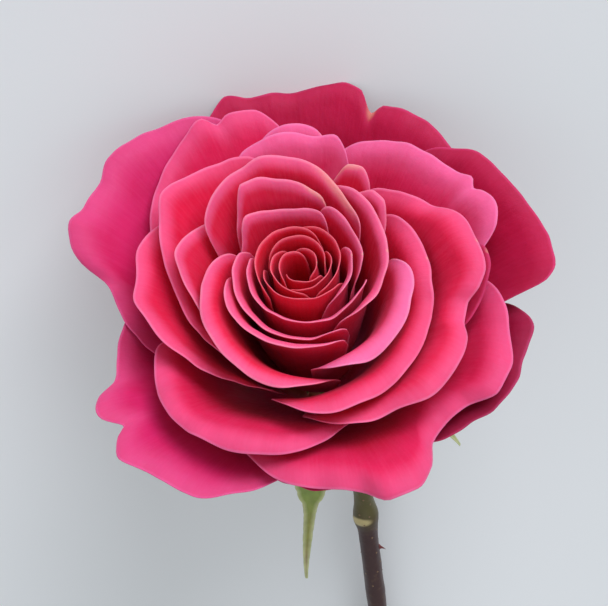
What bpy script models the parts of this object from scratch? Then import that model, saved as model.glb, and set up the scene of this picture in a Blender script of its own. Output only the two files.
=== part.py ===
"""A cut garden rose, fully open, lying on a surface.

The head is drawn in its own frame: the origin is where the petals meet the receptacle, Z is the
axis out of the open face, and an azimuth is counted anticlockwise round Z from X, seen from the
face. Azimuth 90 is the side that ends up against the surface, and -90 the side that faces up.

Every petal is a shell on a family of nested bowls. A bowl has a rank: 0 is the closed cone in the
heart of the rose, and 1 and over are the flat outer saucers. Bowls of different rank never cross,
so petals that lie over one another are given ranks that stay apart at every azimuth they share.
"""

import math
from dataclasses import dataclass

import bmesh
import bpy
from mathutils import Matrix, Vector

MM = 0.001

# Petals
PETAL_THICKNESS = 0.34 * MM
HEART_LENGTH = 40.0 * MM        # nominal petal length at rank 0
GUARD_LENGTH = 58.0 * MM        # nominal petal length at rank 1
CLAW_SHARE = 0.24               # width of a petal's foot as a share of its full spread
CLAW_REACH = 0.55               # share of the length over which a petal reaches its full spread
FOOT_INNER_RADIUS = 1.0 * MM
FOOT_OUTER_RADIUS = 7.5 * MM
FOOT_INNER_HEIGHT = 5.0 * MM
FOOT_OUTER_HEIGHT = 0.5 * MM
FOOT_DROP = 4.0 * MM            # how much lower the feet sit for each rank past 1
CLAW_CLEARANCE = 0.0305 * MM    # between the claws of two petals that lie back to back
# the rank between two such petals
CLAW_STEP = (PETAL_THICKNESS + CLAW_CLEARANCE) / (FOOT_OUTER_RADIUS - FOOT_INNER_RADIUS)
HEART_COLUMN_STEP = 24.0        # widest azimuth step between mesh columns at rank 0, degrees
GUARD_COLUMN_STEP = 13.0        # the same at rank 1
ROW_SHARES = (0.0, 0.18, 0.40, 0.64, 0.85, 1.0)
ROLL_FADE = 0.3                 # share of the spread over which the rim's curl fades at each end
WALK_STEPS = 24                 # steps taken along a petal when its profile is worked out

# Direction of a bowl's wall above its own horizontal, in degrees. One row for each station along
# the length, one column for each of the ranks.
RANKS = (0.0, 0.25, 0.50, 0.75, 1.0, 1.2)
STATIONS = (0.0, 0.30, 0.65, 1.0, 1.4)
WALL_ANGLES = (
    (62, 45, 30, 18, 10, 6),
    (90, 84, 72, 59, 48, 42),
    (93, 88, 76, 62, 50, 42),
    (97, 84, 62, 44, 30, 20),
    (97, 78, 45, 18, 0, -12),
)

# Bud in the heart: three whorls of three petals, each wrapped over the next one round
BUD_RANKS = (0.045, 0.125, 0.205)
BUD_CROWN = 99.0                # length of a bud petal's middle, as a percentage of nominal
BUD_TALL_SIDE = 110.0           # azimuth at which the bud's petals stand tallest
BUD_TALL_GAIN = 2.0
BUD_FIRST_AZIMUTHS = (20.0, 75.0, 130.0)
BUD_HALF_SPREAD = 88.0
BUD_TWIST = 0.031               # rank gained from a bud petal's middle to its end

# Hip and stem
HIP_GAP = 0.9 * MM              # between the petals' feet and the top of the hip
SHOULDER_LIP = 0.2 * MM
HIP_WAIST_RADIUS = 5.6 * MM
HIP_RADIUS = 6.6 * MM
HIP_LENGTH = 15.0 * MM
STEM_RADIUS = 2.5 * MM
STEM_LENGTH = 150.0 * MM
STEM_SIDES = 12
STEM_RING_STEP = 5.0 * MM
NECK_LENGTH = 70.0 * MM
NECK_BEND = 24.0
STEM_BOW = 1.3                  # further slow bend from the neck to the cut end, degrees
SWAY_LENGTH = 38.0 * MM         # the neck swings aside over this length, then runs straight again
SWAY = 20.0                     # how far it swings, degrees
NODE_SWELL = 0.9 * MM
NODE_HALF_LENGTH = 3.5 * MM
NODE_PLACES = (60.0 * MM, 124.0 * MM)

# Prickles
PRICKLE_LENGTH = 4.2 * MM
PRICKLE_FOOT = 2.6 * MM
PRICKLE_FLATNESS = 0.42         # width of a prickle's foot as a share of its length
PRICKLE_LEAN = 0.35
PRICKLE_HOOK = 0.55             # how far the tip leans, as a share of the prickle's length
PRICKLE_SIDES = 8
PRICKLES = (                    # place on the stem, turn round it in degrees, relative size
    (72.0 * MM, 8.0, 0.45),
    (101.0 * MM, 150.0, 0.9),
    (111.0 * MM, 5.0, 1.0),
    (137.0 * MM, 80.0, 1.0),
)

# Sepals
SEPAL_THICKNESS = 0.7 * MM
SEPAL_LENGTH = 42.0 * MM
SEPAL_WIDTH = 8.6 * MM
SEPAL_GAP = 0.35 * MM
SEPAL_LIFT = 0.22               # how far a sepal's edges fold up, as a share of its half width
SEPAL_START_HEIGHT = -1.5 * MM
SEPAL_STEPS = 6                 # steps between two of its stations

# Lying pose
HEAD_ELEVATION = 28.0           # angle of the face's axis above the surface
HEAD_ROLL = 0.26


@dataclass(frozen=True)
class Petal:
    """One petal: where its foot is, the ranks it runs through and the outline of its rim."""

    name: str
    claw: float                 # azimuth of the foot
    ranks: tuple                # ((azimuth, rank), (azimuth, rank)), straight in between and beyond
    rim: tuple                  # (azimuth, length as a percentage of the bowl's nominal length)
    roll: float = 0.0           # how far the rim curls back, degrees
    roll_width: float = 5.0     # length of the curled strip, mm


def level(rank):
    """A rank that is the same at every azimuth."""
    return ((0.0, rank), (360.0, rank))


PETALS = (
    # guards: the flat outer ring
    Petal("guard_petal_top", 72, level(1.12),
          ((24, 70), (34, 86), (43, 93), (54, 96), (62, 96), (65, 92), (69, 101), (74, 104),
           (86, 99), (96, 99), (102, 102), (107, 97), (113, 88), (122, 66)), 25, 6),
    Petal("guard_petal_left", 142, level(0.99),
          ((100, 76), (104, 94), (110, 102), (117, 106), (127, 109), (136, 111), (142, 107),
           (150, 107), (155, 109), (160, 106), (164, 99), (167, 88), (175, 80), (184, 73),
           (194, 62)), 30, 6),
    Petal("guard_petal_lower_left", 222, level(1.07),
          ((168, 64), (177, 74), (189, 79), (197, 84), (203, 96), (208, 100), (213, 94),
           (216, 101), (220, 106), (228, 103), (238, 103), (246, 94), (254, 84), (263, 73),
           (270, 57)), 20, 6),
    Petal("guard_petal_bottom", 265, level(1.16),
          ((235, 56), (249, 69), (258, 76), (266, 79), (274, 77), (284, 74), (294, 61)), 15, 5),
    Petal("guard_petal_lower_right", 324, level(1.12),
          ((292, 63), (300, 78), (306, 83), (311, 86), (317, 92), (325, 94), (333, 92), (341, 93),
           (348, 85), (352, 76), (356, 66)), 20, 5),
    Petal("guard_petal_right", 376, level(1.03),
          ((345, 75), (348, 92), (351, 104), (355, 107), (362, 107), (371, 105), (382, 102),
           (392, 101), (398, 96), (405, 89), (413, 68)), 25, 6),
    # skirt: the first cupped ring, its rims turned well out
    Petal("skirt_petal_bottom", 300, level(0.94),
          ((232, 60), (240, 76), (250, 88), (260, 98), (270, 103), (277, 109), (282, 118),
           (288, 118), (294, 111), (299, 97), (306, 91), (312, 94), (319, 104), (326, 103),
           (335, 97), (348, 90), (357, 81), (364, 63)), 55, 8),
    Petal("skirt_petal_upper_left", 122, level(0.893),
          ((84, 78), (91, 94), (97, 102), (104, 103), (108, 101), (112, 106), (118, 103),
           (130, 96), (140, 89), (149, 82), (158, 64)), 35, 5),
    Petal("skirt_petal_upper_right", 36, level(0.88),
          ((-4, 75), (4, 92), (9, 100), (14, 103), (20, 101), (23, 98), (26, 101), (32, 98),
           (41, 96), (50, 95), (57, 92), (64, 88), (71, 81), (78, 61)), 40, 5),
    Petal("skirt_petal_right", -10, level(0.82),
          ((-34, 69), (-26, 86), (-19, 91), (-12, 95), (-5, 98), (1, 97), (7, 89),
           (14, 69)), 30, 5),
    Petal("skirt_petal_lower_left", 238, level(0.82),
          ((186, 62), (195, 80), (207, 89), (219, 99), (231, 104), (242, 104), (253, 101),
           (262, 97), (271, 88), (280, 79), (288, 62)), 60, 6),
    # cup: the upright ring
    Petal("cup_petal_left", 190, ((150, 0.735), (235, 0.66)),
          ((138, 71), (148, 92), (155, 96), (163, 99), (172, 98), (182, 101), (191, 98), (202, 95),
           (213, 88), (224, 83), (236, 75), (246, 66)), 35, 4),
    Petal("cup_petal_back", 84, level(0.78),
          ((66, 70), (74, 91), (79, 97), (85, 99), (92, 98), (98, 93), (104, 70)), 30, 4),
    Petal("cup_petal_top", 92, level(0.715),
          ((60, 76), (66, 93), (71, 99), (78, 98), (88, 100), (98, 98), (105, 96), (112, 87),
           (118, 72)), 40, 4),
    Petal("cup_petal_right", -20, ((45, 0.64), (-80, 0.76)),
          ((-98, 67), (-90, 85), (-80, 96), (-67, 100), (-56, 109), (-45, 110), (-34, 107),
           (-26, 100), (-21, 100), (-16, 107), (-10, 111), (0, 109), (12, 106), (25, 96), (38, 90),
           (47, 86), (54, 78), (60, 62)), 65, 7),
    Petal("cup_petal_upper_left", 140, ((103, 0.66), (221, 0.58)),
          ((96, 73), (100, 92), (107, 98), (118, 101), (130, 105), (138, 109), (143, 110),
           (151, 105), (161, 100), (171, 94), (184, 87), (204, 83), (220, 82), (232, 68)), 35, 4),
    Petal("cup_petal_lower_right", -40, ((40, 0.515), (-95, 0.68)),
          ((-112, 72), (-103, 90), (-94, 100), (-84, 104), (-73, 104), (-58, 103), (-42, 98),
           (-26, 95), (-8, 93), (10, 93), (22, 93), (34, 85), (42, 65)), 70, 7),
    # heart: the inner wraps
    Petal("heart_petal_left", 180, ((139, 0.53), (212, 0.515)),
          ((128, 69), (139, 91), (150, 97), (161, 103), (169, 106), (177, 101), (190, 94),
           (203, 91), (213, 73)), 20, 4),
    Petal("heart_petal_lower_right", -50, ((0, 0.47), (-70, 0.53)),
          ((-92, 80), (-83, 97), (-72, 103), (-58, 104), (-42, 103), (-26, 100), (-12, 98),
           (0, 89), (8, 66)), 75, 6),
    Petal("heart_petal_lobe", 58, level(0.565),
          ((40, 76), (48, 95), (54, 100), (60, 99), (66, 90), (74, 68)), 30, 3),
    Petal("heart_petal_right", 30, level(0.475),
          ((12, 66), (18, 84), (25, 95), (32, 102), (39, 102), (45, 98), (51, 91),
           (58, 70)), 45, 3),
    Petal("heart_petal_ribbon", -6, ((61, 0.439), (-64, 0.372)),
          ((-72, 69), (-62, 88), (-44, 94), (-24, 96), (-4, 98), (16, 98), (34, 101), (48, 102),
           (59, 100), (68, 75)), 55, 3),
    Petal("heart_petal_top", 96, ((148, 0.463), (20, 0.37)),
          ((20, 77), (30, 94), (44, 98), (58, 104), (75, 112), (90, 115), (102, 117), (113, 114),
           (124, 113), (135, 110), (144, 106), (151, 99), (157, 74)), 35, 4),
    Petal("heart_petal_lower_left", 214, ((163, 0.38), (260, 0.58)),
          ((146, 74), (158, 92), (172, 98), (188, 100), (204, 103), (222, 105), (240, 105),
           (256, 101), (268, 95), (276, 86), (283, 70)), 65, 5.5),
    Petal("heart_petal_front", 248, ((150, 0.343), (290, 0.466)),
          ((168, 72), (176, 88), (190, 96), (208, 99), (228, 101), (245, 101), (262, 101),
           (274, 100), (284, 96), (291, 88), (297, 72)), 45, 3),
    Petal("heart_petal_hood", 142, ((150, 0.388), (60, 0.350)),
          ((52, 72), (58, 92), (65, 101), (74, 104), (84, 108), (98, 111), (112, 115), (121, 115),
           (127, 109), (133, 100), (140, 92), (148, 74)), 35, 3),
    Petal("heart_petal_inner_right", 22, ((45, 0.315), (-40, 0.3)),
          ((-30, 79), (-16, 92), (0, 97), (12, 97), (26, 98), (42, 100), (54, 102), (62, 99),
           (68, 78)), 30, 3),
    Petal("heart_petal_inner_top", 110, ((148, 0.387 - CLAW_STEP), (50, 0.327 - CLAW_STEP)),
          ((44, 80), (52, 97), (62, 102), (74, 101), (90, 100), (108, 101), (122, 104), (132, 106),
           (138, 103), (145, 95), (154, 88), (163, 74)), 30, 3),
    Petal("heart_petal_inner_bottom", 254, ((150, 0.302), (290, 0.407)),
          ((142, 74), (150, 90), (162, 97), (180, 98), (200, 97), (218, 95), (235, 92), (255, 90),
           (270, 89), (281, 91), (290, 92), (298, 85), (304, 70)), 40, 3),
    Petal("heart_petal_core_bottom", 226, ((160, 0.25), (340, 0.352)),
          ((148, 74), (156, 90), (168, 98), (185, 99), (205, 96), (225, 93), (250, 92), (275, 92),
           (290, 91), (305, 94), (320, 97), (332, 96), (341, 90), (348, 74)), 35, 3),
    Petal("heart_petal_core_right", -16, level(0.261),
          ((-72, 76), (-60, 89), (-42, 96), (-22, 98), (-2, 98), (16, 94), (26, 85),
           (32, 74)), 35, 3),
)


# ---------------------------------------------------------------- small helpers

def smooth_step(x):
    """Ease from 0 to 1 as x goes from 0 to 1."""
    x = min(max(x, 0.0), 1.0)
    return x * x * (3.0 - 2.0 * x)


def interpolate(x, xs, ys):
    """Straight-line interpolation through (xs, ys), held at both ends."""
    if x <= xs[0]:
        return ys[0]
    for x0, x1, y0, y1 in zip(xs, xs[1:], ys, ys[1:]):
        if x <= x1:
            return y0 + (y1 - y0) * (x - x0) / (x1 - x0)
    return ys[-1]


def make_material(name, colour, roughness):
    """A plain Principled material."""
    material = bpy.data.materials.new(name)
    material.use_nodes = True
    shader = material.node_tree.nodes["Principled BSDF"]
    shader.inputs["Base Color"].default_value = (*colour, 1.0)
    shader.inputs["Roughness"].default_value = roughness
    shader.inputs["Metallic"].default_value = 0.0
    return material


def make_object(name, vertices, faces, material):
    """A mesh object from vertices and faces, shaded smooth."""
    mesh = bpy.data.meshes.new(name)
    mesh.from_pydata([tuple(v) for v in vertices], [], faces)
    mesh.shade_smooth()
    mesh.materials.append(material)
    thing = bpy.data.objects.new(name, mesh)
    bpy.context.scene.collection.objects.link(thing)
    return thing


# ---------------------------------------------------------------- petals

def nominal_length(rank):
    """The usual length of a petal of this rank."""
    return HEART_LENGTH + (GUARD_LENGTH - HEART_LENGTH) * rank


def bowl_point(rank, length, share, roll, roll_width):
    """Radius and height at a share of a petal column that is length long.

    The column's last roll_width curls back by roll degrees.
    """
    nominal = nominal_length(rank)
    foot = min(rank, 1.0)
    radius = FOOT_INNER_RADIUS + (FOOT_OUTER_RADIUS - FOOT_INNER_RADIUS) * foot
    height = FOOT_INNER_HEIGHT + (FOOT_OUTER_HEIGHT - FOOT_INNER_HEIGHT) * foot
    height -= FOOT_DROP * max(rank - 1.0, 0.0)
    angles = [interpolate(rank, RANKS, row) for row in WALL_ANGLES]
    step = length * share / WALK_STEPS
    for index in range(WALK_STEPS):
        along = (index + 0.5) * step
        curl = roll * smooth_step(1.0 - (length - along) / roll_width)
        angle = math.radians(interpolate(along / nominal, STATIONS, angles) - curl)
        radius += step * math.cos(angle)
        height += step * math.sin(angle)
    return radius, height


def rim_columns(rim, rank):
    """The rim's own points, with more between two that are far apart."""
    widest = HEART_COLUMN_STEP + (GUARD_COLUMN_STEP - HEART_COLUMN_STEP) * min(rank, 1.0)
    columns = [rim[0]]
    for (a0, l0), (a1, l1) in zip(rim, rim[1:]):
        count = math.ceil((a1 - a0) / widest)
        for index in range(1, count + 1):
            part = index / count
            columns.append((a0 + (a1 - a0) * part, l0 + (l1 - l0) * part))
    return columns


def make_petal(petal, material):
    """A petal: a grid of columns from foot to rim, thickened by Solidify."""
    (azimuth_0, rank_0), (azimuth_1, rank_1) = petal.ranks
    slope = (rank_1 - rank_0) / (azimuth_1 - azimuth_0)
    vertices = []
    columns = rim_columns(petal.rim, rank_0)
    start = petal.rim[0][0]
    spread = petal.rim[-1][0] - start
    for azimuth, percent in columns:
        length = 0.01 * percent * nominal_length(rank_0 + slope * (azimuth - azimuth_0))
        place = (azimuth - start) / spread
        roll = petal.roll * smooth_step(min(place, 1.0 - place) / ROLL_FADE)
        for share in ROW_SHARES:
            fan = CLAW_SHARE + (1.0 - CLAW_SHARE) * smooth_step(share / CLAW_REACH)
            turn = petal.claw + (azimuth - petal.claw) * fan
            rank = rank_0 + slope * (turn - azimuth_0)
            radius, height = bowl_point(rank, length, share, roll, petal.roll_width * MM)
            angle = math.radians(turn)
            vertices.append((radius * math.cos(angle), radius * math.sin(angle), height))
    count = len(ROW_SHARES)
    faces = []
    for column in range(len(columns) - 1):
        for row in range(count - 1):
            corner = column * count + row
            faces.append((corner, corner + count, corner + count + 1, corner + 1))
    thing = make_object(petal.name, vertices, faces, material)
    solidify = thing.modifiers.new("thickness", "SOLIDIFY")
    solidify.thickness = PETAL_THICKNESS
    solidify.offset = 0.0
    return thing


def bud_petals():
    """The nine petals of the closed bud, as three twisted whorls."""
    petals = []
    for whorl, (rank, first) in enumerate(zip(BUD_RANKS, BUD_FIRST_AZIMUTHS)):
        for index in range(3):
            middle = first + 120.0 * index
            start = middle - BUD_HALF_SPREAD
            end = middle + BUD_HALF_SPREAD
            crown = BUD_CROWN + BUD_TALL_GAIN * math.cos(math.radians(middle - BUD_TALL_SIDE))
            rim = ((start, crown - 12), (start + 15, crown - 4), (start + 38, crown - 1),
                   (middle - 24, crown), (middle, crown + 1), (middle + 24, crown),
                   (end - 38, crown - 1), (end - 15, crown - 4), (end, crown - 12))
            ranks = ((start, rank - BUD_TWIST), (end, rank + BUD_TWIST))
            name = f"bud_petal_{whorl + 1}_{index + 1}"
            petals.append(Petal(name, middle, ranks, rim, 20, 2))
    return petals


# ---------------------------------------------------------------- hip, sepals and stem

def stem_path():
    """Points and directions along the stem's centre line, from under the hip to the cut end."""
    count = round(STEM_LENGTH / STEM_RING_STEP)
    step = STEM_LENGTH / count
    point = Vector((0.0, 0.0, -HIP_LENGTH))
    path = []
    for index in range(count + 1):
        along = index * step
        bend = NECK_BEND * smooth_step(along / NECK_LENGTH) + STEM_BOW * along / STEM_LENGTH
        angle = math.radians(bend)
        sway = math.radians(SWAY * math.sin(math.pi * min(along / SWAY_LENGTH, 1.0)))
        direction = Vector((math.sin(sway), -math.sin(angle) * math.cos(sway),
                            -math.cos(angle) * math.cos(sway)))
        path.append((along, point.copy(), direction))
        point += direction * step
    return path


def stem_radius(along):
    """Radius of the stem: a little thicker towards the cut end, swollen at the leaf scars."""
    radius = STEM_RADIUS + 0.3 * MM * along / STEM_LENGTH
    for place in NODE_PLACES:
        radius += NODE_SWELL * math.exp(-((along - place) / NODE_HALF_LENGTH) ** 2)
    return radius


def hip_profile():
    """Radius and height of the hip's turned outline, from the top of its dome downward."""
    slope = (FOOT_INNER_HEIGHT - FOOT_OUTER_HEIGHT) / (FOOT_OUTER_RADIUS - FOOT_INNER_RADIUS)
    shoulder = FOOT_OUTER_RADIUS + SHOULDER_LIP
    top = FOOT_INNER_HEIGHT + slope * FOOT_INNER_RADIUS - HIP_GAP
    edge = top - slope * shoulder
    return [
        (0.35 * shoulder, top - 0.35 * slope * shoulder),
        (0.72 * shoulder, top - 0.72 * slope * shoulder),
        (shoulder, edge - 0.3 * MM),
        (shoulder, edge - 1.1 * MM),
        (HIP_WAIST_RADIUS, -0.17 * HIP_LENGTH),
        (HIP_RADIUS, -0.35 * HIP_LENGTH),
        (HIP_RADIUS, -0.51 * HIP_LENGTH),
        (0.84 * HIP_RADIUS, -0.68 * HIP_LENGTH),
        (0.60 * HIP_RADIUS, -0.84 * HIP_LENGTH),
    ], top


def ring_points(centre, direction, radius):
    """A ring of points square to direction."""
    across = direction.cross(Vector((1.0, 0.0, 0.0))).normalized()
    side = across.cross(direction)
    points = []
    for index in range(STEM_SIDES):
        turn = 2.0 * math.pi * index / STEM_SIDES
        points.append(centre + side * radius * math.cos(turn) + across * radius * math.sin(turn))
    return points


def make_stem(material):
    """Hip and stem in one piece, with prickles joined on."""
    outline, top = hip_profile()
    down = Vector((0.0, 0.0, -1.0))
    vertices = [Vector((0.0, 0.0, top))]
    for radius, height in outline:
        vertices += ring_points(Vector((0.0, 0.0, height)), down, radius)
    path = stem_path()
    for along, point, direction in path:
        vertices += ring_points(point, direction, stem_radius(along))
    vertices.append(path[-1][1])
    rings = len(outline) + len(path)
    faces = []
    for side in range(STEM_SIDES):
        after = (side + 1) % STEM_SIDES
        faces.append((0, 1 + side, 1 + after))
        for ring in range(rings - 1):
            here = 1 + ring * STEM_SIDES
            below = here + STEM_SIDES
            faces.append((here + side, below + side, below + after, here + after))
        last = 1 + (rings - 1) * STEM_SIDES
        faces.append((last + side, len(vertices) - 1, last + after))
    stem = make_object("stem", vertices, faces, material)
    fix = bmesh.new()
    fix.from_mesh(stem.data)
    bmesh.ops.recalc_face_normals(fix, faces=fix.faces)
    fix.to_mesh(stem.data)
    fix.free()
    for index, (place, turn, size) in enumerate(PRICKLES):
        cutter = make_prickle(f"prickle_{index + 1}", path, (place, turn, size), material)
        union = stem.modifiers.new(cutter.name, "BOOLEAN")
        union.operation = "UNION"
        union.object = cutter
    return stem


def path_at(path, place):
    """Point and direction on the stem at a distance below the hip."""
    for (s0, p0, d0), (s1, p1, d1) in zip(path, path[1:]):
        if place <= s1:
            part = (place - s0) / (s1 - s0)
            return p0.lerp(p1, part), d0.lerp(d1, part).normalized()
    return path[-1][1], path[-1][2]


def make_prickle(name, path, prickle, material):
    """A flat hooked cone that leans towards the stem's foot; the stem's Boolean joins it on."""
    place, turn, size = prickle
    centre, direction = path_at(path, place)
    side = Vector((1.0, 0.0, 0.0))
    across = direction.cross(side).normalized()
    side = across.cross(direction)
    out = side * math.cos(math.radians(turn)) + across * math.sin(math.radians(turn))
    round_about = direction.cross(out)
    reach = stem_radius(place)
    length = PRICKLE_LENGTH * size
    foot = PRICKLE_FOOT * size
    vertices = []
    for rise, share in ((-0.21, 1.0), (0.26, 0.62), (0.62, 0.30)):
        lean = PRICKLE_LEAN * length * max(rise, 0.0)
        for index in range(PRICKLE_SIDES):
            angle = 2.0 * math.pi * index / PRICKLE_SIDES
            along = direction * (foot * share * math.cos(angle) + lean)
            wide = round_about * (PRICKLE_FLATNESS * foot * share * math.sin(angle))
            vertices.append(centre + out * (reach + rise * length) + along + wide)
    vertices.append(centre + out * (reach + length) + direction * (PRICKLE_HOOK * length))
    faces = [tuple(range(PRICKLE_SIDES))]
    for index in range(PRICKLE_SIDES):
        after = (index + 1) % PRICKLE_SIDES
        for ring in (0, PRICKLE_SIDES):
            faces.append((ring + index, ring + after, ring + PRICKLE_SIDES + after,
                          ring + PRICKLE_SIDES + index))
        faces.append((2 * PRICKLE_SIDES + index, 2 * PRICKLE_SIDES + after, 3 * PRICKLE_SIDES))
    prickle = make_object(name, vertices, faces, material)
    fix = bmesh.new()
    fix.from_mesh(prickle.data)
    bmesh.ops.recalc_face_normals(fix, faces=fix.faces)
    fix.to_mesh(prickle.data)
    fix.free()
    prickle.hide_render = True
    prickle.display_type = "WIRE"
    return prickle


# Azimuth of each sepal, and how far its wall hangs below the horizontal at foot, middle and tip.
# The two on the lower side lie flat under the guard petals; the others fall back along the stem.
SEPALS = (
    ("sepal_1", -99.0, (5.0, 53.0, 63.0), 1.18),
    ("sepal_2", -26.0, (5.0, 42.0, 66.0), 0.92),
    ("sepal_3", 46.0, (0.0, -14.0, -8.0), 0.86),
    ("sepal_4", 118.0, (0.0, -12.0, -4.0), 0.84),
    ("sepal_5", 190.0, (5.0, 38.0, 60.0), 0.95),
)
SEPAL_FALL_PLACES = (0.0, 0.5, 1.0)
SEPAL_STATIONS = (0.0, 0.12, 0.28, 0.42, 0.50, 0.58, 0.80, 1.0)
SEPAL_WIDTHS = (0.80, 1.0, 1.0, 0.94, 0.70, 0.34, 0.22, 0.08)


def make_sepal(name, azimuth, falls, size, material):
    """A sepal: a folded blade that starts at the hip's shoulder."""
    length = SEPAL_LENGTH * size
    turn = math.radians(azimuth)
    out = Vector((math.cos(turn), math.sin(turn), 0.0))
    side = Vector((-math.sin(turn), math.cos(turn), 0.0))
    up = Vector((0.0, 0.0, 1.0))
    radius = FOOT_OUTER_RADIUS + SHOULDER_LIP + SEPAL_GAP
    height = SEPAL_START_HEIGHT
    vertices = []
    track = []
    last = 0.0
    for share in SEPAL_STATIONS:
        step = length * (share - last) / SEPAL_STEPS
        for index in range(SEPAL_STEPS):
            along = last + (share - last) * (index + 0.5) / SEPAL_STEPS
            fall = math.radians(interpolate(along, SEPAL_FALL_PLACES, falls))
            radius += step * math.cos(fall)
            height -= step * math.sin(fall)
        last = share
        fall = math.radians(interpolate(share, SEPAL_FALL_PLACES, falls))
        track.append((radius, height, fall))
    for (radius, height, fall), width in zip(track, SEPAL_WIDTHS):
        half = 0.5 * SEPAL_WIDTH * width
        normal = up * math.cos(fall) + out * math.sin(fall)
        centre = out * radius + up * height
        for place, lift in ((-1.0, SEPAL_LIFT), (0.0, 0.0), (1.0, SEPAL_LIFT)):
            vertices.append(centre + side * half * place + normal * half * lift)
    faces = []
    for row in range(len(SEPAL_STATIONS) - 1):
        for column in range(2):
            corner = row * 3 + column
            faces.append((corner, corner + 1, corner + 4, corner + 3))
    sepal = make_object(name, vertices, faces, material)
    solidify = sepal.modifiers.new("thickness", "SOLIDIFY")
    solidify.thickness = SEPAL_THICKNESS
    solidify.offset = 0.0
    return sepal


# ---------------------------------------------------------------- the whole rose

def lay_down(things):
    """Turn the rose into its lying pose and set it on the surface, centred over the origin."""
    lean = math.radians(HEAD_ELEVATION)
    x_axis = Vector((-1.0, 0.0, 0.0))
    y_axis = Vector((0.0, -math.sin(lean), -math.cos(lean)))
    z_axis = Vector((0.0, -math.cos(lean), math.sin(lean)))
    turn = Matrix((x_axis, y_axis, z_axis)).transposed().to_4x4()
    turn = Matrix.Rotation(math.radians(HEAD_ROLL), 4, "Y") @ turn
    for thing in things:
        thing.data.transform(turn)
    bpy.context.view_layer.update()
    graph = bpy.context.evaluated_depsgraph_get()
    low = Vector((math.inf,) * 3)
    high = Vector((-math.inf,) * 3)
    for thing in things:
        if thing.hide_render:
            continue
        for vertex in thing.evaluated_get(graph).data.vertices:
            for axis in range(3):
                low[axis] = min(low[axis], vertex.co[axis])
                high[axis] = max(high[axis], vertex.co[axis])
    shift = Vector((-(low.x + high.x) / 2, -(low.y + high.y) / 2, -low.z))
    for thing in things:
        thing.data.transform(Matrix.Translation(shift))


def main():
    """Build the rose."""
    for thing in list(bpy.data.objects):
        bpy.data.objects.remove(thing)
    rose = make_material("rose_pink", (0.72, 0.05, 0.16), 0.45)
    green = make_material("stem_green", (0.16, 0.22, 0.07), 0.5)
    for petal in PETALS:
        make_petal(petal, rose)
    for petal in bud_petals():
        make_petal(petal, rose)
    make_stem(green)
    for name, azimuth, falls, size in SEPALS:
        make_sepal(name, azimuth, falls, size, green)
    lay_down(list(bpy.data.objects))


main()
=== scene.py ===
"""An open cut rose lying on a pale surface, with its light and its camera.

The head is drawn in its own frame, in metres: the origin is where the petals meet the receptacle,
Z is the axis out of the open face, and an azimuth is counted anticlockwise round Z from X, seen
from the face. Every petal is a shell on a family of nested bowls. A bowl's rank is 0 for the closed
cone in the heart of the rose and 1 and over for the flat outer saucers. Bowls of different rank
never cross, so petals of different rank can lie over one another without touching.
"""

from __future__ import annotations

import logging
import math
from dataclasses import dataclass, field
from enum import Enum

import bpy
import numpy as np
from mathutils import Matrix, Vector

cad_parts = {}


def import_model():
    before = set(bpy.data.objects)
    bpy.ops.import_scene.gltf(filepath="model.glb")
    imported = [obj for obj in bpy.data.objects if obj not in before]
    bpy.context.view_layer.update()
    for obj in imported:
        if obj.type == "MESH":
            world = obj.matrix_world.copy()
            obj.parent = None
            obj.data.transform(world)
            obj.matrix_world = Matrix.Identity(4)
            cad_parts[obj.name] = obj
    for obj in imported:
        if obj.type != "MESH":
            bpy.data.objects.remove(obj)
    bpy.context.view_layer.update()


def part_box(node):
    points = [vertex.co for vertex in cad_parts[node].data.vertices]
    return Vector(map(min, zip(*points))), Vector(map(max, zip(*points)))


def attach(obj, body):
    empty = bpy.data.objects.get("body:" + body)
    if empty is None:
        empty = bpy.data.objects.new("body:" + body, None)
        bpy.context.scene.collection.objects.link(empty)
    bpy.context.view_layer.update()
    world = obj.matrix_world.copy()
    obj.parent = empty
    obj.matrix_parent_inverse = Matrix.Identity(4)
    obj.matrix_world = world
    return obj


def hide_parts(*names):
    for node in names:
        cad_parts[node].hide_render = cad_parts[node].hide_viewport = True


LOG = logging.getLogger("rose")
MM = 0.001
Rim = tuple[tuple[float, float], ...]
Ranks = tuple[tuple[float, float], tuple[float, float]]
Feed = bpy.types.NodeSocket | float | tuple | Vector | None


# ------------------------------------------------------------------ small helpers

def linear(hex_colour: str) -> tuple[float, float, float, float]:
    """Turn an sRGB hex colour to linear RGBA.

    Args:
        hex_colour: six hex digits, such as "D8305F".

    Returns:
        The linear red, green, blue and an alpha of 1.
    """
    parts = []
    for start in (0, 2, 4):
        value = int(hex_colour[start:start + 2], 16) / 255.0
        parts.append(value / 12.92 if value <= 0.04045 else ((value + 0.055) / 1.055) ** 2.4)
    return (parts[0], parts[1], parts[2], 1.0)


def smooth_step(value: np.ndarray | float) -> np.ndarray:
    """Ease from 0 to 1 as value goes from 0 to 1."""
    value = np.clip(value, 0.0, 1.0)
    return value * value * (3.0 - 2.0 * value)


def add_node(tree: bpy.types.NodeTree, kind: str, settings: dict | None = None,
             inputs: dict | None = None) -> bpy.types.Node:
    """Add a node with its settings and its inputs.

    Args:
        tree: the shader or geometry tree.
        kind: the node's type name.
        settings: properties of the node, by name.
        inputs: sockets by name or number; a socket as value is linked, anything else is set.

    Returns:
        The new node.
    """
    node = tree.nodes.new(kind)
    for name, value in (settings or {}).items():
        setattr(node, name, value)
    for key, value in (inputs or {}).items():
        socket = node.inputs[key]
        if isinstance(value, bpy.types.NodeSocket):
            tree.links.new(value, socket)
        else:
            socket.default_value = value
    return node


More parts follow.
